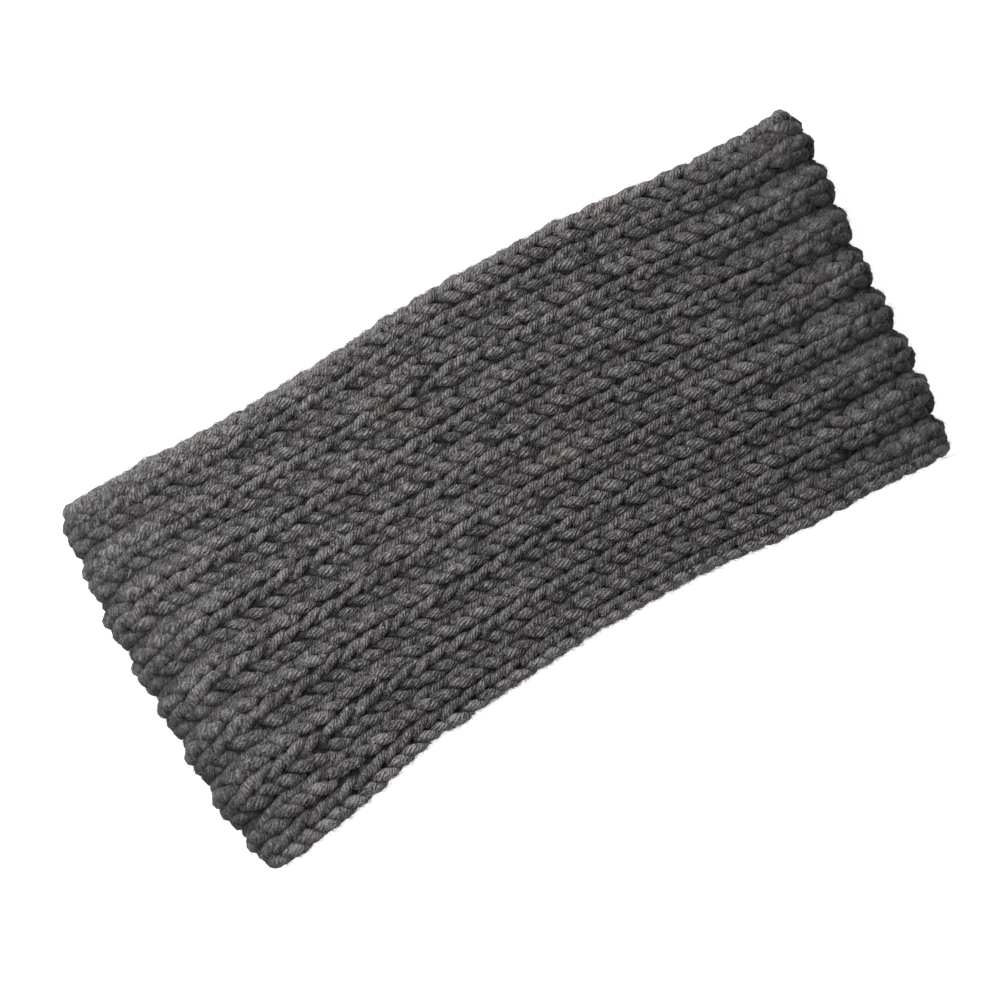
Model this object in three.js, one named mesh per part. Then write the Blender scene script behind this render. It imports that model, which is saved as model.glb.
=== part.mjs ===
// A wide ribbed headband of thick yarn: one closed loop of fabric, laid flat and double.
// X runs along the band, Y across its ribs and Z up. The origin is the middle of what it lies on.
import * as THREE from 'three';
import { ParametricGeometry } from 'three/addons/geometries/ParametricGeometry.js';
import { mergeVertices } from 'three/addons/utils/BufferGeometryUtils.js';

// Driving sizes in millimetres
const LAYER = 8.4;        // one layer of fabric, from its outer crests to its inner crests
const GROOVE = 2.8;       // how deep a groove between two ribs goes, on either face
const GROOVE_SHAPE = 0.6; // under 1 gives round ribs with narrow grooves
const EDGE = 5.5;         // how far in from a long edge its rounding starts
const CORNER = 2.0;       // how far a folded end pulls back at its two corners
const REST_FLAT = 0.45;   // how far the lowest crests are pressed flat by the band's weight
const MIDDLE_GAP = 0.9;   // between the layers in the middle of the band
const FOLD_HOLLOW = 5.6;  // height of the open space inside each folded end
const HOLLOW_LENGTH = 26; // how far that space keeps its full height
const SETTLE = 30;        // the length over which the upper layer then sinks onto the lower one

// Mesh fineness
const OUTER_STEPS = 6;    // across each outer rib
const INNER_STEPS = 4;    // across each inner rib
const EDGE_STEPS = 4;     // along each quarter of a rounded edge
const LAYER_STEPS = 18;   // along each layer
const FOLD_STEPS = 8;     // round each folded end

// The plan of the band: its middle line and its width at places along it
const PLAN = [
  { along: -122.0, middle: -0.6, width: 122.2 },
  { along: -91.5, middle: 0.9, width: 118.4 },
  { along: -61.0, middle: 3.3, width: 111.6 },
  { along: -30.5, middle: 4.8, width: 110.0 },
  { along: 0.0, middle: 6.5, width: 110.5 },
  { along: 30.5, middle: 5.7, width: 110.3 },
  { along: 61.0, middle: 3.3, width: 112.1 },
  { along: 91.5, middle: 0.8, width: 109.8 },
  { along: 122.0, middle: -0.3, width: 110.9 },
];

// The ribs, from the far edge to the near one: where each one's folded ends lie,
// and its share of the width at the left end, in the middle and at the right end
const RIBS = [
  { left: -121.6, right: 124.0, leftShare: 0.92, middleShare: 0.98, rightShare: 1.09 },
  { left: -122.7, right: 122.7, leftShare: 0.93, middleShare: 1.00, rightShare: 1.05 },
  { left: -124.0, right: 121.2, leftShare: 1.05, middleShare: 1.05, rightShare: 0.92 },
  { left: -124.0, right: 119.6, leftShare: 1.01, middleShare: 1.06, rightShare: 0.99 },
  { left: -123.9, right: 118.8, leftShare: 1.02, middleShare: 1.01, rightShare: 1.02 },
  { left: -123.8, right: 118.3, leftShare: 0.99, middleShare: 1.02, rightShare: 0.96 },
  { left: -123.6, right: 116.9, leftShare: 1.04, middleShare: 0.96, rightShare: 1.05 },
  { left: -121.4, right: 114.9, leftShare: 1.04, middleShare: 0.92, rightShare: 0.92 },
];
const RIB_COUNT = RIBS.length;

// Heights that follow from the sizes above
const HALF = LAYER / 2;
const LOWER_HEIGHT = HALF - REST_FLAT;
const FOLD_RADIUS = (LAYER + FOLD_HOLLOW) / 2;
const MIDDLE_RISE = LAYER + MIDDLE_GAP;

// Reads one column of a table at a place between its rows, on a smooth curve through them
function readColumn(table, column, placeOf, place) {
  const last = table.length - 1;
  const clamped = THREE.MathUtils.clamp(place, placeOf(0), placeOf(last));
  let row = 0;
  while (row < last - 1 && clamped > placeOf(row + 1)) row += 1;
  const part = (clamped - placeOf(row)) / (placeOf(row + 1) - placeOf(row));
  const value = (index) => table[THREE.MathUtils.clamp(index, 0, last)][column];
  const slopeIn = (value(row + 1) - value(row - 1)) / 2;
  const slopeOut = (value(row + 2) - value(row)) / 2;
  const rise = value(row + 1) - value(row);
  const bend = 3 * rise - 2 * slopeIn - slopeOut;
  const pull = slopeIn + slopeOut - 2 * rise;
  return value(row) + part * (slopeIn + part * (bend + part * pull));
}

const readPlan = (column, x) => readColumn(PLAN, column, (row) => PLAN[row].along, x);
const readRib = (column, across) => readColumn(RIBS, column, (row) => row + 0.5, across);

// The share of the width from the far edge to a place across, counted in ribs
function shareTo(column, across) {
  const whole = Math.min(Math.floor(across), RIB_COUNT - 1);
  const before = RIBS.slice(0, whole).reduce((sum, rib) => sum + rib[column], 0);
  const total = RIBS.reduce((sum, rib) => sum + rib[column], 0);
  return (before + (across - whole) * RIBS[whole][column]) / total;
}

// Y of a place across the ribs, at a place along the band
function acrossToY(across, x) {
  const end = THREE.MathUtils.clamp(x / 122, -1, 1);
  const outer = end < 0 ? 'leftShare' : 'rightShare';
  const share = THREE.MathUtils.lerp(
    shareTo('middleShare', across), shareTo(outer, across), Math.abs(end));
  return readPlan('middle', x) + (0.5 - share) * readPlan('width', x);
}

// 1 on the crest of each rib, falling to 0 in the groove beside it
const ribHeight = (across) => Math.abs(Math.sin(Math.PI * across)) ** GROOVE_SHAPE;

// How far the outer or inner face stands from the middle of its layer
function faceOffset(across, side) {
  const ribPhase = side > 0 ? across : across + 0.5;
  return side * (HALF - GROOVE * (1 - ribHeight(ribPhase)));
}

// Where the middle of the layer turns at a folded end, pulled back at the corners
function foldEnd(column, across) {
  const fromEdge = Math.min(across, RIB_COUNT - across, 1);
  const pulledBack = CORNER * (1 - Math.sqrt(1 - (1 - fromEdge) ** 2));
  const inward = column === 'left' ? 1 : -1;
  return readRib(column, across) + inward * (pulledBack + HALF + FOLD_RADIUS);
}

// Height of the upper layer over the lower one, at a distance from the nearest fold
function layerRise(fromFold) {
  const settled = THREE.MathUtils.smoothstep(fromFold, HOLLOW_LENGTH, HOLLOW_LENGTH + SETTLE);
  return THREE.MathUtils.lerp(2 * FOLD_RADIUS, MIDDLE_RISE, settled);
}

// The way round the loop: each step is a part of a layer or an angle of a fold
function loopSteps() {
  const steps = [];
  for (let i = 0; i < LAYER_STEPS; i += 1) steps.push({ layer: 'lower', part: 1 - i / LAYER_STEPS });
  for (let i = 0; i < FOLD_STEPS; i += 1) steps.push({ fold: 'left', angle: Math.PI * i / FOLD_STEPS });
  for (let i = 0; i < LAYER_STEPS; i += 1) steps.push({ layer: 'upper', part: i / LAYER_STEPS });
  for (let i = 0; i < FOLD_STEPS; i += 1) steps.push({ fold: 'right', angle: Math.PI * i / FOLD_STEPS });
  return steps;
}

// The way round the cut through a layer: the outer face, an edge, the inner face, an edge
function cutSteps() {
  const ribWidth = 110 / RIB_COUNT;
  const edge = EDGE / ribWidth;
  const steps = [];
  const addEdge = (from, towards) => {
    for (let i = 1; i < 2 * EDGE_STEPS; i += 1) {
      const angle = Math.PI * i / (2 * EDGE_STEPS);
      const height = towards * Math.cos(angle);
      const across = from + towards * edge * Math.sin(angle);
      steps.push({ across, side: height > 0 ? 1 : -1, thin: Math.abs(height) });
    }
  };
  const addFace = (side, perRib) => {
    const count = Math.round((RIB_COUNT - 1) * perRib);
    const places = Array.from({ length: count + 1 }, (_, i) => 0.5 + i / perRib);
    const inner = places.filter((across) => across > edge && across < RIB_COUNT - edge);
    const all = [edge, ...inner, RIB_COUNT - edge];
    if (side < 0) all.reverse();
    for (const across of all) steps.push({ across, side, thin: 1 });
  };
  addFace(1, OUTER_STEPS);
  addEdge(RIB_COUNT - edge, 1);
  addFace(-1, INNER_STEPS);
  addEdge(edge, -1);
  return steps;
}

const LOOP = loopSteps();
const CUT = cutSteps();

// A point of the surface, for a step round the loop and a step round the cut
function surfacePoint(cutPart, loopPart, target) {
  const step = LOOP[Math.round(loopPart * LOOP.length) % LOOP.length];
  const cut = CUT[Math.round(cutPart * CUT.length) % CUT.length];
  const left = foldEnd('left', cut.across);
  const right = foldEnd('right', cut.across);
  const offset = faceOffset(cut.across, cut.side) * cut.thin;
  let x;
  let z;
  if (step.fold) {
    const outward = step.fold === 'left' ? -1 : 1;
    const start = step.fold === 'left' ? -Math.PI / 2 : Math.PI / 2;
    const angle = step.fold === 'left' ? start + step.angle : start - step.angle;
    const reach = FOLD_RADIUS + offset;
    x = (step.fold === 'left' ? left : right) + outward * reach * Math.cos(angle);
    z = LOWER_HEIGHT + FOLD_RADIUS + reach * Math.sin(angle);
  } else {
    x = THREE.MathUtils.lerp(left, right, step.part);
    const rise = layerRise(Math.min(x - left, right - x));
    z = step.layer === 'lower' ? LOWER_HEIGHT - offset : LOWER_HEIGHT + rise + offset;
  }
  target.set(x, acrossToY(cut.across, x), Math.max(z, 0));
}

function makeBand() {
  let geometry = new ParametricGeometry(surfacePoint, CUT.length, LOOP.length);
  geometry.deleteAttribute('normal');
  geometry.deleteAttribute('uv');
  geometry = mergeVertices(geometry, 1e-4);
  geometry.computeVertexNormals();
  const yarn = new THREE.MeshStandardMaterial({ color: 0x504f4e, roughness: 0.95, metalness: 0 });
  const mesh = new THREE.Mesh(geometry, yarn);
  mesh.name = 'band';
  return mesh;
}

const headband = new THREE.Group();
headband.add(makeBand());

export default headband;
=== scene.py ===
"""A wide ribbed headband of thick melange yarn, knitted as one closed loop and laid flat and double."""
import math

import bmesh
import bpy
import numpy as np
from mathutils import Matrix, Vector


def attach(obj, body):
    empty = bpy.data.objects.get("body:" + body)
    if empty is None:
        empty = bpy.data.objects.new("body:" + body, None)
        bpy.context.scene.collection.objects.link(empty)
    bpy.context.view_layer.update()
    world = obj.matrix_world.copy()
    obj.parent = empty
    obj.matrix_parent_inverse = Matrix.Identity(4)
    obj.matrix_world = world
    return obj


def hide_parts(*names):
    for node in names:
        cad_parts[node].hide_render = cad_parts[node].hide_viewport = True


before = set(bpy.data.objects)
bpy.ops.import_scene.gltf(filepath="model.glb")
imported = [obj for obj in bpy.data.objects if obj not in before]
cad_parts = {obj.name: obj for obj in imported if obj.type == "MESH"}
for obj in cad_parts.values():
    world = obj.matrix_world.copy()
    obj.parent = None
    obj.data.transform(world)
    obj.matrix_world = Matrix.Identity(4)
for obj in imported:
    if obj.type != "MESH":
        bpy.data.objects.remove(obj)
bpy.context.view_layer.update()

MM = 0.001

# The band as it lies, in millimetres: the same sizes and tables as the solid's
LAYER = 8.4
REST_FLAT = 0.45
MIDDLE_GAP = 0.9
FOLD_HOLLOW = 5.6
HOLLOW_LENGTH = 26.0
SETTLE = 30.0
CORNER = 2.0
HALF = LAYER / 2
LOWER_HEIGHT = HALF - REST_FLAT
FOLD_RADIUS = (LAYER + FOLD_HOLLOW) / 2
MIDDLE_RISE = LAYER + MIDDLE_GAP

# The plan of the band, at evenly spaced places along it: the place, its middle line and its width
PLAN = np.array([
    (-122.0, -0.6, 122.2),
    (-91.5, 0.9, 118.4),
    (-61.0, 3.3, 111.6),
    (-30.5, 4.8, 110.0),
    (0.0, 6.5, 110.5),
    (30.5, 5.7, 110.3),
    (61.0, 3.3, 112.1),
    (91.5, 0.8, 109.8),
    (122.0, -0.3, 110.9),
])
PLACE, MIDDLE, WIDTH = range(3)
PLAN_STEP = PLAN[1, PLACE] - PLAN[0, PLACE]

# Ribs from the far edge to the near one: left end, right end, and share of the width
# at the left end, in the middle and at the right end
RIBS = np.array([
    (-121.6, 124.0, 0.92, 0.98, 1.09),
    (-122.7, 122.7, 0.93, 1.00, 1.05),
    (-124.0, 121.2, 1.05, 1.05, 0.92),
    (-124.0, 119.6, 1.01, 1.06, 0.99),
    (-123.9, 118.8, 1.02, 1.01, 1.02),
    (-123.8, 118.3, 0.99, 1.02, 0.96),
    (-123.6, 116.9, 1.04, 0.96, 1.05),
    (-121.4, 114.9, 1.04, 0.92, 0.92),
])
LEFT, RIGHT, LEFT_SHARE, MIDDLE_SHARE, RIGHT_SHARE = range(5)
RIB_COUNT = len(RIBS)

# The knitting
COURSES = 86          # rows of stitches round the loop
COLUMNS = 4           # columns of stitches to a rib: two in front, and the two of the valley behind them
YARN = 2.9            # the yarn's diameter
FRONT_RAISED = 1.2    # from the middle of a layer to the middle of the yarn, in front columns
BACK_RAISED = 2.0     # the same in the columns behind them
BACK_RELIEF = 0.6     # how much of a stitch's relief those columns keep
TO_BACK = 0.75        # where in a rib the yarn passes to the back
TO_FRONT = 0.25       # and to the front again
PASSING_OUT = -0.3    # how far out it lies there
SHIFT = 0.05          # how far the rows lie to the near side of their ribs' places, in ribs

# How much single stitches vary: across in ribs, along in courses, out, and in thickness
SLIP_ACROSS, SLIP_ALONG, SLIP_OUT, SLIP_THICK = 0.022, 0.07, 0.18, 0.06
SEED = 11

# How the knit changes towards the folded ends; a pair is for the left end and the right one
END_REACH = 45.0           # how far from a fold that fades out
END_CALM = 0.85            # how much flatter the stitches lie where they are stretched round an end
END_SPREAD = (0.45, 0.42)  # how much thicker the yarn is there
END_NARROW = 0.05          # how much a rib draws in there
END_RAISE = (0.85, 0.75)   # how much further out the front columns lie there
END_SINK = (0.9, 1.7)      # how much further in the back columns lie there

# The long edges
OUTER_DIP = (0.5, 0.1)     # the share of the dips in the outermost half ribs, on the layers and on the folds
EDGE_CURL = 1.4            # how much further the outermost row turns down
CORNER_CURL = (2.2, 0.4)   # how much more it does so on the left fold and on the right one
EDGE_INSET = 0.06          # from the outline in to the outermost yarn, in ribs

# The yarn's meshes
POINTS_PER_KEY = 1.5
YARN_TIP = 0.02       # thickness where a piece's yarn ends inside the next one's
YARN_SIDES = 2        # Blender's bevel resolution: 4 sides and twice this
PIECES = 6
YARN_MAP_ROWS = 36    # rows that a piece's yarn is cut into for its sheet of colour
FIBRE_MAP_ROWS = 200
MAP_MARGIN = 0.05     # the free share of such a row on either side
ROUNDING = 0.01       # of a step along a path, so that each step falls in one row

# How far down the rows lie, by the part of a rib: on the lower layer and the upper one's right half,
# near the upper layer's left end, on the left fold and on the right fold
DIPS = np.array([
    (0.00, 2.7, 0.4, 2.8, 4.1),
    (0.10, 0.5, 1.0, 1.6, 1.8),
    (0.32, 0.1, 0.1, 0.5, 0.1),
    (0.48, 0.5, -0.9, -0.1, -0.2),
    (0.62, -0.2, -0.8, 0.1, 0.0),
    (0.71, -0.3, 0.2, 0.2, -0.1),
    (0.78, 0.3, 1.6, 0.4, 0.1),
    (0.88, 0.7, 0.4, 0.9, 1.1),
    (1.00, 2.7, 0.4, 2.8, 4.1),
])
PART, DIP_RIGHT, DIP_LEFT, DIP_LEFT_FOLD, DIP_RIGHT_FOLD = range(5)
LEFT_FADES = (45.0, 115.0)   # where, from the left fold, the left's dips begin and stop fading

# How far the upper layer's rows lean to the far side near the left end, in ribs, a value for each rib,
# and where, from the left fold, that begins and stops fading
LEAN = np.array([0.20, 0.23, 0.30, 0.34, 0.38, 0.40, 0.34, 0.17])
LEAN_FADES = (10.0, 140.0)
LEAN_HELD = 0.4       # how much less they lean at the middle of the valleys
LEAN_RISE = 17.0      # from the middle of the left fold to where they lean fully

# One stitch, from the far side of its column to the near side: across the column,
# along in courses, out from the yarn's own level in yarn diameters, and thickness
STITCH = np.array([
    (0.00, -0.60, -0.45, 0.88),
    (0.33, -0.48, 0.02, 0.98),
    (0.23, 0.00, 0.24, 1.06),
    (0.13, 0.50, 0.04, 1.04),
    (0.18, 0.95, -0.38, 0.88),
    (0.50, 1.02, -0.52, 0.85),
    (0.80, 0.95, -0.38, 0.88),
    (0.89, 0.52, 0.02, 1.04),
    (0.69, 0.05, 0.38, 1.28),
    (0.49, -0.42, -0.08, 1.00),
])
ACROSS, ALONG, OUT, THICKNESS = range(4)

# The places across a stitch, in a rib's first column and in its second
SECOND_COLUMN = np.array([
    (0.00, 0.00),
    (0.13, 0.22),
    (0.50, 0.59),
    (0.89, 0.91),
    (1.00, 1.00),
])

# Where the yarn turns from one course to the next at a long edge: across its column, along in courses
# from the middle of the turn, and out in yarn diameters
EDGE_TURN = np.array([
    (0.10, -0.50, -0.40),
    (0.16, -0.12, -0.50),
])

# The twist of the yarn
TWIST_ANGLE = math.radians(50)
LAY = math.pi * YARN / math.tan(TWIST_ANGLE)
STRANDS = 7

# The middle of the knit, a sheet painted dark as the shade between the stitches
CORE_RAISED = 0.2     # from the middle of a layer
CORE_THICKNESS = 0.6
CORE_INSET = 0.2      # from the long edges, in ribs
CORE_STEPS = (2, 6)   # faces to a course and to a rib
CORE_WELD = 0.01

# Loose fibres that stand off the yarn
FIBRES = 48000        # on the knit's surface
EDGE_FIBRES = 35000   # along its outline
FIBRE_POINTS = 3
FIBRE_WIDTH = 0.11
FIBRE_LENGTH = (1.0, 3.6)
FIBRE_TIP = 0.4       # the share of its width that a fibre keeps at its tip
FIBRE_ROOT = 0.93     # where it starts, as a share of the yarn's radius
FIBRE_BEHIND = 0.3    # the share of its length before that place
FIBRE_LIFT = 0.6      # how high it stands off
FIBRE_RISES = (0.6, 0.5, 0.5)  # its even rise as a share of that, how much it varies, and how much it bends
FIBRE_SPREAD = 1.5    # how far round the yarn from its outermost line it starts, in radians
FIBRE_TURN = 0.7      # how much it turns round the yarn, in radians
FIBRES_UPRIGHT = 0.6  # the outline at the folded ends, by the upward share of the way out
FIBRES_AT_EDGE = 0.2  # the outline at the long edges, in ribs
FIBRES_ABOVE = -1.2   # the level that fibres start from, against the middle of the layer
LOWEST_FIBRE = 0.05   # over the floor


def read_rows(values, place):
    """Values of evenly spaced rows, read between them on a smooth curve through them."""
    last = len(values) - 1
    place = np.clip(place, 0, last)
    row = np.minimum(place.astype(int), last - 1)
    part = place - row
    before, here, after, beyond = (values[np.clip(row + step, 0, last)] for step in (-1, 0, 1, 2))
    slope_in, slope_out, rise = (after - before) / 2, (beyond - here) / 2, after - here
    bend = 3 * rise - 2 * slope_in - slope_out
    pull = slope_in + slope_out - 2 * rise
    return here + part * (slope_in + part * (bend + part * pull))


def share_to(column, across):
    """The share of the width from the far edge to a place across, counted in ribs."""
    widths = RIBS[:, column]
    whole = np.clip(np.floor(across), 0, RIB_COUNT - 1).astype(int)
    before = np.concatenate([[0.0], np.cumsum(widths)])[whole]
    return (before + (across - whole) * widths[whole]) / widths.sum()


def across_to_y(across, x):
    """Y of a place across the ribs, at a place along the band."""
    place = (x - PLAN[0, PLACE]) / PLAN_STEP
    end = np.clip(x / PLAN[-1, PLACE], -1, 1)
    outer = np.where(end < 0, share_to(LEFT_SHARE, across), share_to(RIGHT_SHARE, across))
    share = share_to(MIDDLE_SHARE, across) * (1 - abs(end)) + outer * abs(end)
    return read_rows(PLAN[:, MIDDLE], place) + (0.5 - share) * read_rows(PLAN[:, WIDTH], place)


def fold_centre(column, across):
    """Where the middle of the layer starts to turn at a folded end."""
    from_edge = np.clip(np.minimum(across, RIB_COUNT - across), 0, 1)
    pulled_back = CORNER * (1 - np.sqrt(1 - (1 - from_edge) ** 2))
    inward = 1 if column == LEFT else -1
    return read_rows(RIBS[:, column], across - 0.5) + inward * (pulled_back + HALF + FOLD_RADIUS)


def layer_rise(from_fold):
    """Height of the upper layer over the lower one, and its slope, at a distance from the nearest fold."""
    part = np.clip((from_fold - HOLLOW_LENGTH) / SETTLE, 0, 1)
    drop = MIDDLE_RISE - 2 * FOLD_RADIUS
    return 2 * FOLD_RADIUS + drop * part * part * (3 - 2 * part), drop * 6 * part * (1 - part) / SETTLE


# The loop's own length in its middle: along the upper layer, round the right end and back
STRAIGHT = (RIBS[:, RIGHT] - RIBS[:, LEFT]).mean() - 2 * (HALF + FOLD_RADIUS)
TURN = math.pi * FOLD_RADIUS
LOOP = 2 * (STRAIGHT + TURN)
COURSE = LOOP / COURSES


def unit(vectors):
    return vectors / np.linalg.norm(vectors, axis=-1, keepdims=True)


def lay_on_band(along, across, out):
    """Points in millimetres of places given in courses round the loop, ribs across and millimetres out."""
    length = (along % COURSES) * COURSE
    left, right = fold_centre(LEFT, across), fold_centre(RIGHT, across)
    lower = length >= STRAIGHT + TURN
    here = length - np.where(lower, STRAIGHT + TURN, 0)
    turning = here > STRAIGHT
    part = np.clip(here / STRAIGHT, 0, 1)
    x = np.where(lower, right + part * (left - right), left + part * (right - left))
    toward_left = x - left < right - x
    rise, slope = layer_rise(np.minimum(x - left, right - x))
    slope = np.where(toward_left, slope, -slope)
    tilt = np.hypot(1, slope)
    flat_x = np.where(lower, x, x - out * slope / tilt)
    flat_z = np.where(lower, LOWER_HEIGHT - out, LOWER_HEIGHT + rise + out / tilt)
    angle = np.pi * np.clip((here - STRAIGHT) / TURN, 0, 1)
    reach = FOLD_RADIUS + out
    side = np.where(lower, -1, 1)
    turned_x = np.where(lower, left, right) + side * reach * np.sin(angle)
    turned_z = LOWER_HEIGHT + FOLD_RADIUS + side * reach * np.cos(angle)
    x = np.where(turning, turned_x, flat_x)
    z = np.where(turning, turned_z, flat_z)
    return np.stack([x, across_to_y(across, x), z], axis=-1)


def folds(along):
    """Two values, for the left and the right end: 1 on the fold and 0 along the layers."""
    length = (along % COURSES) * COURSE
    middle = STRAIGHT + TURN / 2
    to_right = abs(length - middle)
    to_left = np.minimum(abs(length - middle - LOOP / 2), abs(length - middle + LOOP / 2))
    return [1 - np.clip((near - TURN / 2) / END_REACH, 0, 1) for near in (to_left, to_right)]


def foldedness(along, amounts=(1, 1)):
    """An amount that is reached on the folded ends and fades out along the layers."""
    left, right = folds(along)
    return amounts[0] * left + amounts[1] * right


def fading(length, fades):
    """1 up to the first place and 0 from the second on."""
    return np.clip((fades[1] - length) / (fades[1] - fades[0]), 0, 1)


def upper_length(along):
    """Millimetres along the upper layer: less than 0 on the left fold, and the full length beyond it."""
    length = (along * COURSE + TURN / 2) % LOOP - TURN / 2
    return np.minimum(length, STRAIGHT)


def roll_down(across, along):
    """How far a rib turns down towards the valleys beside it."""
    right, left, left_fold, right_fold = (
        np.interp(across % 1, DIPS[:, PART], DIPS[:, column])
        for column in (DIP_RIGHT, DIP_LEFT, DIP_LEFT_FOLD, DIP_RIGHT_FOLD))
    at_left = fading(upper_length(along), LEFT_FADES)
    on_left_fold, on_right_fold = folds(along)
    on_left_fold = on_left_fold ** 3
    dip = right + (left - right) * at_left
    dip = dip + (left_fold - dip) * on_left_fold + (right_fold - dip) * on_right_fold
    outer = np.minimum(across, RIB_COUNT - across) < 0.5
    flat, folded = OUTER_DIP
    return dip * np.where(outer, flat + (folded - flat) * foldedness(along), 1)


def lean(along, across):
    """How far the rows lie from their ribs' places, in ribs."""
    length = upper_length(along)
    rise = np.clip((length + TURN / 2) / LEAN_RISE, 0, 1)
    held = 1 - LEAN_HELD * np.cos(np.pi * across) ** 2
    to_far_side = read_rows(LEAN, across - 0.5) * fading(length, LEAN_FADES) * rise * held
    from_edge = np.clip(np.minimum(across, RIB_COUNT - across) * 2, 0, 1)
    return (SHIFT - to_far_side) * from_edge


def edge_curl(across, along):
    """How much further the two long edges turn down."""
    from_edge = np.clip(np.minimum(across, RIB_COUNT - across), 0, 1)
    return (EDGE_CURL + foldedness(along, CORNER_CURL)) * (1 - np.sqrt(1 - (1 - from_edge) ** 2))


def course_keys(course, draws):
    """The places of one course's yarn from the far edge to the near one: along, across, out and thickness."""
    keys = []
    for column, (slip_across, slip_out, slip_along, thick) in enumerate(draws):
        rib, kind = divmod(column, COLUMNS)
        second = kind % 2
        place = STITCH[:, ACROSS]
        part = (second + (np.interp(place, *SECOND_COLUMN.T) if second else place)) / 2
        part = part + SLIP_ACROSS * slip_across
        along = course + STITCH[:, ALONG] + SLIP_ALONG * slip_along
        folded = foldedness(along)
        if kind < 2:
            across = rib + 0.5 + (part - 0.5) * (1 - END_NARROW * folded)
            relief = STITCH[:, OUT] * np.where(STITCH[:, OUT] > 0, 1 - END_CALM * folded, 1) * YARN
            turned_down = roll_down(rib + part, along) + edge_curl(across, along)
            out = FRONT_RAISED + foldedness(along, END_RAISE) + relief - turned_down
        else:
            across = rib + 0.5 + part
            out = -BACK_RAISED - foldedness(along, END_SINK) - BACK_RELIEF * STITCH[:, OUT] * YARN
        out = out + SLIP_OUT * slip_out
        thickness = STITCH[:, THICKNESS] * (1 + SLIP_THICK * thick + foldedness(along, END_SPREAD) * folded)
        keys.append(np.stack([along, across, out, thickness], axis=1))
    keys = np.array(keys)
    keys[1:, 0] = (keys[1:, 0] + keys[:-1, 0]) / 2
    for column in range(2, len(keys), 2):
        to_back = column % COLUMNS == 2
        keys[column, 0, 1:3] = column // COLUMNS + (TO_BACK if to_back else TO_FRONT), PASSING_OUT
    return keys.reshape(-1, 4)[1:]


def edge_turn(course, near):
    """The outer half of a turn at a long edge, towards a course."""
    across = EDGE_TURN[:, ACROSS] / 2
    across = RIB_COUNT - across if near else across
    out = FRONT_RAISED + EDGE_TURN[:, OUT] * YARN - DIPS[0, DIP_RIGHT] * OUTER_DIP[0] - EDGE_CURL
    return np.stack([course + EDGE_TURN[:, ALONG], across, out, np.ones(len(out))], axis=1)


def smooth_path(keys):
    """A curve through the keys, with evenly shared points between them."""
    last = len(keys) - 1
    place = np.linspace(0, last, int(last * POINTS_PER_KEY) + 1)
    return np.stack([read_rows(keys[:, i], place) for i in range(keys.shape[1])], axis=1)


def two_courses(first, draws):
    """The places of a course's yarn and the next one's, from the turn at the far edge that starts them."""
    return np.concatenate([
        edge_turn(first, near=False),
        course_keys(first, draws[first]),
        edge_turn(first + 1, near=True),
        course_keys(first + 1, draws[first + 1])[::-1],
    ])


def lay_yarn(first, last, draws):
    """The yarn of a stretch of courses: points, thickness, the way out, level and distance from an edge."""
    following = two_courses(last % COURSES, draws)[:3] + (last // COURSES * COURSES, 0, 0, 0)
    keys = np.concatenate([*(two_courses(course, draws) for course in range(first, last, 2)), following])
    keys[[0, -1], 3] = YARN_TIP
    along, across, level, thickness = smooth_path(keys).T
    across = across + lean(along, across)
    across = EDGE_INSET + across * (RIB_COUNT - 2 * EDGE_INSET) / RIB_COUNT
    points = lay_on_band(along, across, level)
    outward = lay_on_band(along, across, level + 1) - points
    points[:, 2] = np.maximum(points[:, 2], YARN / 2 * thickness)
    return points, thickness, unit(outward), level, np.minimum(across, RIB_COUNT - across)


def loose_fibres(yarn, count, chance, on_outline):
    """Fibres with one end in the yarn, which lie along it and end just over it."""
    points, thickness, outward, level, from_edge = yarn
    at_edge = from_edge < FIBRES_AT_EDGE
    outline = at_edge | (abs(outward[:, 2]) < FIBRES_UPRIGHT)
    weight = outline if on_outline else (level > FIBRES_ABOVE) & ~outline
    if on_outline:
        outward = np.where(at_edge[:, None], np.sign(points[:, 1:2]) * (0, 1, 0), outward)
    start = chance.choice(len(points), count, p=weight / weight.sum())
    part = np.linspace(0, 1, FIBRE_POINTS)[None, :, None]
    way, _, turned, risen, bent = chance.normal(0, 1, (5, count, 1, 1))
    lengths = chance.uniform(*FIBRE_LENGTH, (count, 1, 1)) * np.sign(way)
    around = chance.uniform(-FIBRE_SPREAD, FIBRE_SPREAD, (count, 1, 1)) + FIBRE_TURN * part * turned
    even, varied, bend = FIBRE_RISES
    lift = FIBRE_LIFT * (part * (even + varied * risen) + part * part * bend * bent)
    reach = YARN / 2 * thickness[start, None, None] * FIBRE_ROOT + lift
    along = unit(np.gradient(points, axis=0))[start, None]
    side = unit(np.cross(along, outward[start, None]))
    outward = np.cross(side, along)
    paths = points[start, None] + along * lengths * (part - FIBRE_BEHIND)
    paths = paths + reach * (np.cos(around) * outward + np.sin(around) * side)
    paths[..., 2] = np.maximum(paths[..., 2], LOWEST_FIBRE)
    return paths


def curve_piece(name, curve, paths, radii, tilts):
    """One mesh swept along several paths."""
    curve.dimensions = "3D"
    for points, radius, tilt in zip(paths, radii, tilts):
        spline = curve.splines.new("POLY")
        spline.points.add(len(points) - 1)
        spline.points.foreach_set("co", np.c_[points * MM, np.ones(len(points))].ravel())
        spline.points.foreach_set("radius", radius)
        spline.points.foreach_set("tilt", np.full(len(points), tilt))
        spline.use_smooth = True
    holder = bpy.data.objects.new(name, curve)
    bpy.context.scene.collection.objects.link(holder)
    shape = holder.evaluated_get(bpy.context.evaluated_depsgraph_get())
    mesh = bpy.data.meshes.new_from_object(shape)
    bpy.data.objects.remove(holder)
    mesh.name = name
    piece = bpy.data.objects.new(name, mesh)
    bpy.context.scene.collection.objects.link(piece)
    return piece


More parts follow.
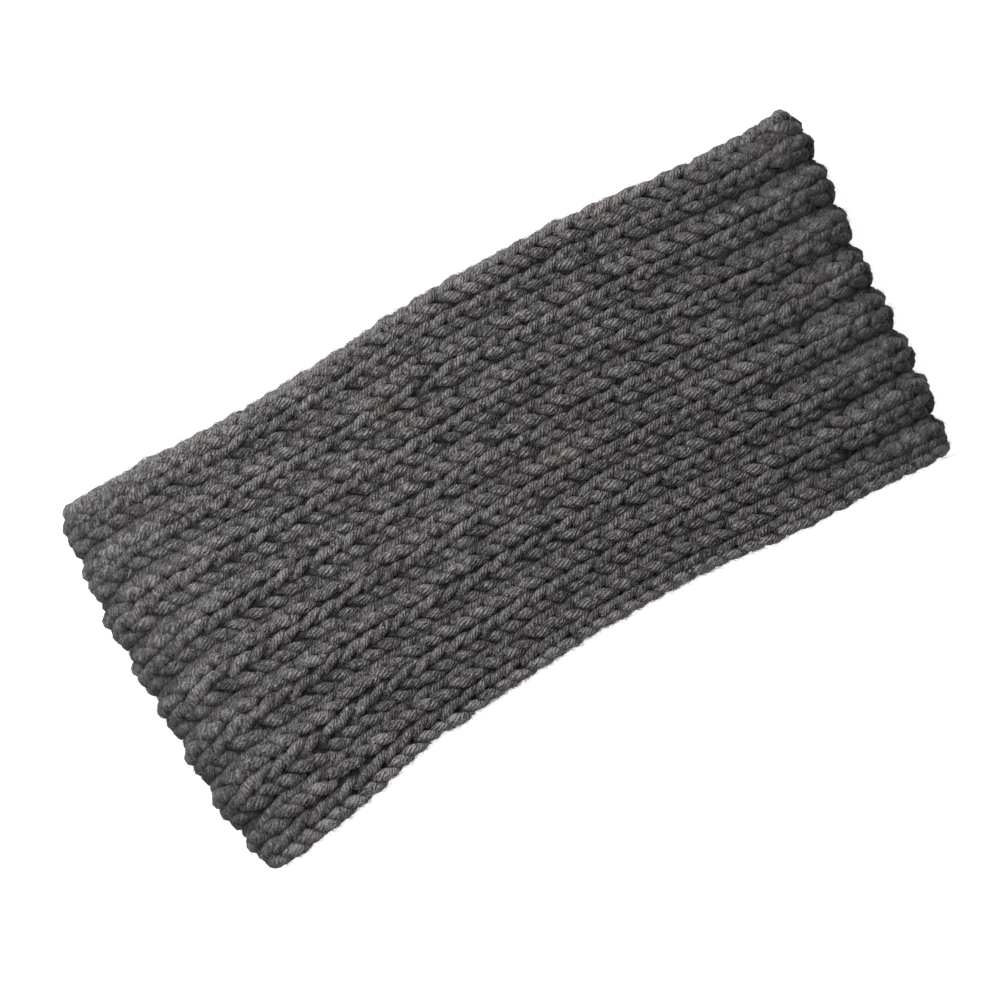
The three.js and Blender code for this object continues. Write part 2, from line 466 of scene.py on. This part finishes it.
def map_lengths(mesh, lengths, sides, rows):
    """Makes the curve's own map millimetres along each path, and cuts the paths into a sheet's rows."""
    own = mesh.uv_layers[0]
    own.name = "yarn"
    sheet = mesh.uv_layers.new(name="OFBake")
    corners = np.zeros(len(mesh.loops) * 2, np.float32)
    own.data.foreach_get("uv", corners)
    corners = corners.reshape(-1, 4, 2)
    packed = np.zeros_like(corners)
    steps_in_row = math.ceil(sum(len(length) - 1 for length in lengths) / rows)
    face, step = 0, 0
    for length in lengths:
        last = len(length) - 1
        faces = slice(face, face + last * sides)
        place = corners[faces, :, 0] * last
        from_start = place + step
        row = (from_start.min(axis=1, keepdims=True) + ROUNDING) // steps_in_row
        packed[faces, :, 0] = from_start / steps_in_row - row
        packed[faces, :, 1] = (row + MAP_MARGIN + (1 - 2 * MAP_MARGIN) * corners[faces, :, 1]) / rows
        corners[faces, :, 0] = np.interp(place, np.arange(len(length)), length)
        face += last * sides
        step += last
    own.data.foreach_set("uv", corners.ravel())
    sheet.data.foreach_set("uv", packed.ravel())


def make_yarn_piece(name, yarn, start_length):
    """One stretch of yarn, with its map and how high its skin lies, for painted shade in the hollows and
    painted light at the long edges, and the length of yarn up to its end.
    """
    points, thickness, outward, level, from_edge = yarn
    curve = bpy.data.curves.new(name, "CURVE")
    curve.bevel_depth = YARN / 2 * MM
    curve.bevel_resolution = YARN_SIDES
    piece = curve_piece(name, curve, [points], [thickness], [0])
    steps = np.linalg.norm(np.diff(points, axis=0), axis=1)
    length = start_length + np.concatenate([[0.0], np.cumsum(steps)])
    sides = 4 + 2 * YARN_SIDES
    map_lengths(piece.data, [length], sides, YARN_MAP_ROWS)
    skin = np.array([vertex.co for vertex in piece.data.vertices]).reshape(len(points), sides, 3) / MM
    # The skin's height over the layer's middle, which the yarn's finish turns into painted shade in the
    # hollows and painted light on top
    height = level[:, None] + ((skin - points[:, None]) * outward[:, None]).sum(axis=-1)
    # The long edges count higher, as painted light along them
    height += EDGE_LIGHT * np.clip(1 - from_edge / EDGE_LIGHT_REACH, 0, 1)[:, None]
    piece.data.attributes.new("height", "FLOAT", "POINT").data.foreach_set("value", height.ravel())
    return piece, length[-1]


def make_fibre_piece(name, yarns, count, chance, on_outline):
    """All the fibres of the surface, or all those of the outline."""
    curve = bpy.data.curves.new(name, "CURVE")
    curve.extrude = FIBRE_WIDTH / 2 * MM
    paths = np.concatenate([loose_fibres(yarn, count // len(yarns), chance, on_outline) for yarn in yarns])
    radii = [np.linspace(1, FIBRE_TIP, FIBRE_POINTS)] * len(paths)
    piece = curve_piece(name, curve, paths, radii, chance.uniform(0, math.pi, len(paths)))
    lengths = [np.arange(FIBRE_POINTS) + number for number in range(len(paths))]
    map_lengths(piece.data, lengths, 1, FIBRE_MAP_ROWS)
    return piece


def knit_yarn():
    """All the yarn, in pieces that each hold a stretch of the loop, and its loose fibres."""
    chance = np.random.default_rng(SEED)
    draws = chance.normal(0, 1, (COURSES, COLUMNS * RIB_COUNT - 2, 4))
    starts = 2 * np.linspace(0, COURSES / 2, PIECES + 1).round().astype(int)
    yarns = [lay_yarn(first, last, draws) for first, last in zip(starts[:-1], starts[1:])]
    pieces, length = [], 0.0
    for number, yarn in enumerate(yarns):
        piece, length = make_yarn_piece(f"yarn_{number + 1}", yarn, length)
        pieces.append(piece)
    fibres = [
        make_fibre_piece("loose_fibres", yarns, FIBRES, chance, on_outline=False),
        make_fibre_piece("edge_fibres", yarns, EDGE_FIBRES, chance, on_outline=True),
    ]
    return pieces, fibres


def fix_order(shape):
    """Sorts the edges and the faces by their vertices: solidify adds its rim in an order that varies."""
    def key(part):
        numbers = [vertex.index for vertex in part.verts]
        return min(numbers) * len(shape.verts) + max(numbers)

    shape.verts.index_update()
    shape.edges.sort(key=key)
    shape.faces.sort(key=key)


def knit_core():
    """The middle of the knit, which shows between the stitches, painted dark as the shade there."""
    shape = bmesh.new()
    to_course, to_rib = CORE_STEPS
    bmesh.ops.create_grid(shape, x_segments=to_course * COURSES, y_segments=to_rib * RIB_COUNT, size=1)
    places = np.array([vertex.co for vertex in shape.verts])
    along = (places[:, 0] + 1) / 2 * COURSES
    across = CORE_INSET + (places[:, 1] + 1) / 2 * (RIB_COUNT - 2 * CORE_INSET)
    along = np.where(along >= COURSES, 0, along)
    points = lay_on_band(along, across + lean(along, across), CORE_RAISED - roll_down(across, along))
    for vertex, point in zip(shape.verts, points * MM):
        vertex.co = point
    bmesh.ops.remove_doubles(shape, verts=shape.verts, dist=CORE_WELD * MM)
    bmesh.ops.recalc_face_normals(shape, faces=shape.faces)
    bmesh.ops.solidify(shape, geom=shape.faces, thickness=CORE_THICKNESS * MM)
    bmesh.ops.recalc_face_normals(shape, faces=shape.faces)
    fix_order(shape)
    mesh = bpy.data.meshes.new("knit_core")
    shape.to_mesh(mesh)
    shape.free()
    mesh.polygons.foreach_set("use_smooth", [True] * len(mesh.polygons))
    piece = bpy.data.objects.new("knit_core", mesh)
    bpy.context.scene.collection.objects.link(piece)
    return piece


class Wire:
    """A node's output. Each sum written with it adds the Math node that works it out."""

    def __init__(self, finish, socket):
        self.finish = finish
        self.socket = socket

    def math(self, operation, *terms):
        return self.finish.add("ShaderNodeMath", {"operation": operation}, dict(enumerate(terms)))

    def __add__(self, other):
        return self.math("ADD", self, other)

    __radd__ = __add__

    def __sub__(self, other):
        return self.math("SUBTRACT", self, other)

    def __rsub__(self, other):
        return self.math("SUBTRACT", other, self)

    def __mul__(self, other):
        return self.math("MULTIPLY", self, other)

    __rmul__ = __mul__

    def __truediv__(self, other):
        return self.math("DIVIDE", self, other)

    def __pow__(self, other):
        return self.math("POWER", self, other)

    def __mod__(self, other):
        return self.math("FLOORED_MODULO", self, other)

    def floor(self):
        return self.math("FLOOR", self)

    def sine(self):
        return self.math("SINE", self)

    def size(self):
        return self.math("ABSOLUTE", self)

    def held(self, low=0.0, high=1.0):
        return self.finish.add("ShaderNodeClamp", {}, {0: self, 1: low, 2: high})

    def scaled(self, slope, base):
        return self * slope + base


class Finish:
    """A material that is built node by node."""

    def __init__(self, name):
        self.material = bpy.data.materials.new(name)
        self.material.use_nodes = True
        self.tree = self.material.node_tree
        self.shader = self.tree.nodes["Principled BSDF"]

    def fill(self, node, values):
        for key, value in values.items():
            if isinstance(value, Wire):
                self.tree.links.new(value.socket, node.inputs[key])
            else:
                node.inputs[key].default_value = value

    def add(self, kind, settings, values, output=0):
        node = self.tree.nodes.new(kind)
        for key, value in settings.items():
            if key == "stops":
                self.set_stops(node.color_ramp, value)
            else:
                setattr(node, key, value)
        self.fill(node, values)
        return Wire(self, node.outputs[output])

    def set_stops(self, ramp, stops):
        while len(ramp.elements) < len(stops):
            ramp.elements.new(1.0)
        for element, (place, colour) in zip(ramp.elements, stops):
            element.position = place
            element.color = (*colour, 1)

    def plane(self, first, second, stretch):
        return self.add("ShaderNodeCombineXYZ", {}, {0: first * stretch[0], 1: second * stretch[1]})

    def ramp(self, value, stops):
        return self.add("ShaderNodeValToRGB", {"stops": stops}, {0: value})

    def multiply(self, share, colour, other):
        settings = {"data_type": "RGBA", "blend_type": "MULTIPLY"}
        return self.add("ShaderNodeMix", settings, {0: share, 6: colour, 7: other}, 2)

    def noise(self, place, scale, detail, roughness=0.5):
        return self.add(
            "ShaderNodeTexNoise", {},
            {"Vector": place, "Scale": scale, "Detail": detail, "Roughness": roughness})


# The yarn's strands
STRAND_SWAY = 0.22          # how far they wander from an even twist, in turns
SWAY_STRETCH = (0.8, 3.0)   # how fast that changes along the yarn and round it
STRAND_ROUNDNESS = 0.8      # under 1 gives round strands with narrow grooves
OWN_STRETCH = (7.31, 0.6)   # how fast each strand's own pattern changes from strand to strand and along it
OWN_RELIEF = (0.7, 0.4)     # a strand's height by that pattern, as a slope and a base
OWN_SHADE = 1.3             # how much that pattern makes it paler or darker
FIBRE_STRETCH = (1.9, 0.9)  # how fast the fibres change across the strands and along them

# Its fine patterns: scale, detail, roughness, and how much each counts in the relief and in the shade
FIBRE_PATTERN = (1.0, 2.0, 0.7, 0.7, 2.6)
FLECK_PATTERN = (650.0, 2.0, 0.6, 0.3, 0.9)
GRAIN_PATTERN = (2400.0, 1.0, 0.5, 0.2, 1.6)
RELIEF, RELIEF_STRENGTH = 0.6 * MM, 0.9

# Clouds on the band: scale, detail and roughness
SHADE_CLOUD = (160.0, 3.0, 0.6)
TINT_CLOUD = (95.0, 2.0, 0.6)
FIBRE_CLOUD = (700.0, 2.0, 0.7)
CORE_CLOUD = (900.0, 3.0, 0.6)

# Where the yarn looks felted and is painted darker, as the shade at the ends, in metres from the middle of
# its
# plainer part: where that starts, and over what length it grows
FELTED_MIDDLE, FELTED_FROM, FELTED_OVER = -0.01, 0.07, 0.045
FELTED_STRANDS = (0.75, 0.48)  # how much the strands fade there, and the height that is put for it
FELTED_CALM = 0.4              # how much the patterns fade there
END_PAINTED_SHADE = 0.16            # how much darker the yarn is there, as painted shade at the ends

# Its tone, from its shade, its strands, painted darker in their grooves, and its level, painted darker in the
# hollows and lighter on top; a pair is a slope and a base
SHADE, CLOUD_SHADE = 0.66, 0.9
SHADE_LIMITS = (0.05, 1.6)
# Strands darker in their grooves: painted shade
GROOVE_SHADE_TONE = (0.44, 0.58)
DEPTH_SHADE_SCALE = (0.5, 0.4)
DEPTH_SHADE_LIMIT, DEPTH_SHADE_POWER = 1.6, 1.4
DEPTH_SHADE_TONE = (0.74, 0.28)
EDGE_LIGHT = 8.0            # how much higher the yarn counts at the long edges, a painted light where light shines through
EDGE_LIGHT_REACH = 0.35     # in ribs

# Greys by tone, tints by a wide cloud, and the tint of the part that isn't felted
YARN_GREYS = ((0.0, 0.007), (0.5, 0.067), (1.0, 0.185))
YARN_TINTS = (
    (0.34, (1.0, 0.92, 0.90)),
    (0.45, (0.985, 0.925, 0.955)),
    (0.55, (0.945, 0.95, 0.925)),
    (0.66, (0.98, 0.905, 0.975)),
)
MIDDLE_TINT = (1.01, 0.985, 0.98, 1.0)
# The core's greys, near black, as painted shade
CORE_SHADE_GREYS = ((0.3, (0.004, 0.004, 0.004)), (0.8, (0.018, 0.0175, 0.0175)))

# The fibres' greys, on the surface and along the outline, at these places of a cloud; the outline's are
# paler, as painted light on the rim
FIBRE_PLACES = (0.3, 0.55, 0.75)
FIBRE_GREYS = (0.03, 0.10, 0.24)
EDGE_FIBRE_PAINTED_LIGHT_GREYS = (0.07, 0.20, 0.45)
FIBRE_TINT = (1.0, 0.955, 0.945)


def twisted_strands(finish):
    """The yarn's strands: their height, the pattern that each has of its own, and the place along fibres."""
    place = finish.add("ShaderNodeUVMap", {"uv_map": "yarn"}, {})
    length = finish.add("ShaderNodeSeparateXYZ", {}, {0: place}, 0)
    around = finish.add("ShaderNodeSeparateXYZ", {}, {0: place}, 1)
    sway = finish.noise(finish.plane(length, around, SWAY_STRETCH), 1.0, 2.0) - 0.5
    unwound = (length / LAY + around + sway * STRAND_SWAY) * STRANDS
    turns = unwound % STRANDS
    strand = (turns * math.pi).sine().size() ** STRAND_ROUNDNESS
    own = finish.noise(finish.plane(turns.floor(), length, OWN_STRETCH), 1.0, 1.0)
    return strand, own, finish.plane(unwound, length, FIBRE_STRETCH)


def yarn_finish():
    """Dark grey melange yarn: twisted strands, with paler and darker fibres lying along them."""
    finish = Finish("melange_yarn")
    strand, own, fibre_place = twisted_strands(finish)
    place = finish.add("ShaderNodeTexCoord", {}, {}, 3)
    from_middle = (finish.add("ShaderNodeSeparateXYZ", {}, {0: place}, 0) - FELTED_MIDDLE).size()
    felted_and_end_shaded = ((from_middle - FELTED_FROM) / FELTED_OVER).held()
    faded, put = FELTED_STRANDS
    strand = strand * (1 - felted_and_end_shaded * faded) + felted_and_end_shaded * put
    height = strand * own.scaled(*OWN_RELIEF)
    pale = (own - 0.5) * OWN_SHADE
    patterns = ((fibre_place, FIBRE_PATTERN), (place, FLECK_PATTERN), (place, GRAIN_PATTERN))
    for pattern_place, (scale, detail, roughness, relief, shade) in patterns:
        pattern = finish.noise(pattern_place, scale, detail, roughness)
        height = height + pattern * relief
        pale = pale + (pattern - 0.5) * shade
    bump = finish.add(
        "ShaderNodeBump", {}, {"Height": height, "Distance": RELIEF, "Strength": RELIEF_STRENGTH})
    cloud = finish.noise(place, *SHADE_CLOUD)
    # Towards the ends the yarn is painted darker, as the shade there
    pale = pale * (1 - felted_and_end_shaded * FELTED_CALM) + (cloud - 0.5) * CLOUD_SHADE + SHADE - felted_and_end_shaded * END_PAINTED_SHADE
    # The skin's height, turned into painted shade in the hollows and painted light on top and at the long
    # edges
    level = finish.add("ShaderNodeAttribute", {"attribute_name": "height"}, {}, 2)
    painted_depth_shade = (level / YARN).scaled(*DEPTH_SHADE_SCALE).held(0.0, DEPTH_SHADE_LIMIT) ** DEPTH_SHADE_POWER
    # The strands' grooves are painted darker, as their shade
    tone = strand.scaled(*GROOVE_SHADE_TONE) * pale.held(*SHADE_LIMITS) * painted_depth_shade.scaled(*DEPTH_SHADE_TONE)
    grey = finish.ramp(tone, [(stop, (grey,) * 3) for stop, grey in YARN_GREYS])
    tint = finish.ramp(finish.noise(place, *TINT_CLOUD), YARN_TINTS)
    colour = finish.multiply(1.0, grey, tint)
    colour = finish.multiply(1.0 - felted_and_end_shaded, colour, MIDDLE_TINT)
    finish.fill(finish.shader, {
        "Base Color": colour,
        "Normal": bump,
        "Roughness": 0.85,
        "Specular IOR Level": 0.12,
        "Sheen Weight": 0.04,
        "Sheen Roughness": 0.5,
    })
    return finish.material


def fibre_finish(name, greys):
    """Loose fibres, each a little paler or darker than the next."""
    finish = Finish(name)
    place = finish.add("ShaderNodeTexCoord", {}, {}, 3)
    stops = [(stop, [grey * share for share in FIBRE_TINT]) for stop, grey in zip(FIBRE_PLACES, greys)]
    colour = finish.ramp(finish.noise(place, *FIBRE_CLOUD), stops)
    finish.fill(finish.shader, {"Base Color": colour, "Roughness": 0.7, "Specular IOR Level": 0.12})
    return finish.material


def core_finish():
    """Painted shade: the dark middle of the knit."""
    finish = Finish("painted_shade_core")
    place = finish.add("ShaderNodeTexCoord", {}, {}, 3)
    cloud = finish.noise(place, *CORE_CLOUD)
    colour = finish.ramp(cloud, CORE_SHADE_GREYS)
    bump = finish.add("ShaderNodeBump", {}, {"Height": cloud, "Distance": 0.8 * MM, "Strength": 1.0})
    finish.fill(finish.shader, {"Base Color": colour, "Normal": bump, "Roughness": 0.95})
    return finish.material


def dress_band():
    """All the pieces of the headband, finished and tied to the solid that they stand for."""
    yarn = yarn_finish()
    pieces, fibres = knit_yarn()
    for piece in pieces:
        piece.data.materials.append(yarn)
    # The outline's fibres get paler greys, as painted light
    for piece, greys in zip(fibres, (FIBRE_GREYS, EDGE_FIBRE_PAINTED_LIGHT_GREYS)):
        piece.data.materials.append(fibre_finish(piece.name, greys))
    core = knit_core()
    core.data.materials.append(core_finish())
    for piece in [core, *pieces, *fibres]:
        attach(piece, "root")
        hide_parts("band")
    round(LOOP * MM, 3)


# The photograph's frame: its middle on the band, its turn, and its width at the height of the outline
VIEW_MIDDLE = (-7.25, -1.45)
VIEW_TURN = math.radians(-30.3686)
VIEW_WIDTH = 290.0
OUTLINE_HEIGHT = 11.0
LENS, SENSOR = 100.0, 36.0

# The studio, in metres and watts: each lamp's place, power, size and aim
LAMPS = {
    "key": ((-0.06, 0.62, 0.40), 6.1, 0.22, (0, 0, 0)),
    "fill": ((-0.075, 0.06, 0.26), 0.75, 0.20, (-0.075, 0, 0)),
}
SKY_STRENGTH = 0.22
FLOOR_REACH = 4
FLOOR_GREY, FLOOR_GLOW = 0.25, 0.95


def set_camera():
    """Straight above the band, turned as in the photograph."""
    data = bpy.data.cameras.new("camera")
    data.lens = LENS
    data.sensor_width = SENSOR
    camera = bpy.data.objects.new("camera", data)
    distance = VIEW_WIDTH * LENS / SENSOR
    camera.location = Vector((*VIEW_MIDDLE, OUTLINE_HEIGHT + distance)) * MM
    camera.rotation_euler = (0, 0, VIEW_TURN)
    bpy.context.scene.collection.objects.link(camera)
    bpy.context.scene.camera = camera


def add_lamp(name, place, power, size, aim):
    data = bpy.data.lights.new(name, "AREA")
    data.energy = power
    data.size = size
    lamp = bpy.data.objects.new(name, data)
    lamp.location = place
    lamp.rotation_euler = (Vector(aim) - Vector(place)).to_track_quat("-Z", "Y").to_euler()
    bpy.context.scene.collection.objects.link(lamp)


def set_studio():
    """A plain pale floor under soft light from the far left."""
    shape = bmesh.new()
    bmesh.ops.create_grid(shape, x_segments=1, y_segments=1, size=FLOOR_REACH)
    mesh = bpy.data.meshes.new("floor")
    shape.to_mesh(mesh)
    shape.free()
    floor = bpy.data.objects.new("floor", mesh)
    bpy.context.scene.collection.objects.link(floor)
    finish = Finish("pale_floor")
    finish.fill(finish.shader, {
        "Base Color": (FLOOR_GREY, FLOOR_GREY, FLOOR_GREY, 1),
        "Roughness": 0.9,
        "Emission Color": (1, 1, 1, 1),
        "Emission Strength": FLOOR_GLOW,
    })
    mesh.materials.append(finish.material)
    for name, (place, power, size, aim) in LAMPS.items():
        add_lamp(name, place, power, size, aim)
    world = bpy.data.worlds.new("studio")
    bpy.context.scene.world = world
    world.use_nodes = True
    sky = world.node_tree.nodes["Background"]
    sky.inputs["Color"].default_value = (1, 1, 1, 1)
    sky.inputs["Strength"].default_value = SKY_STRENGTH
    bpy.context.scene.view_settings.view_transform = "Standard"


set_camera()
set_studio()
dress_band()
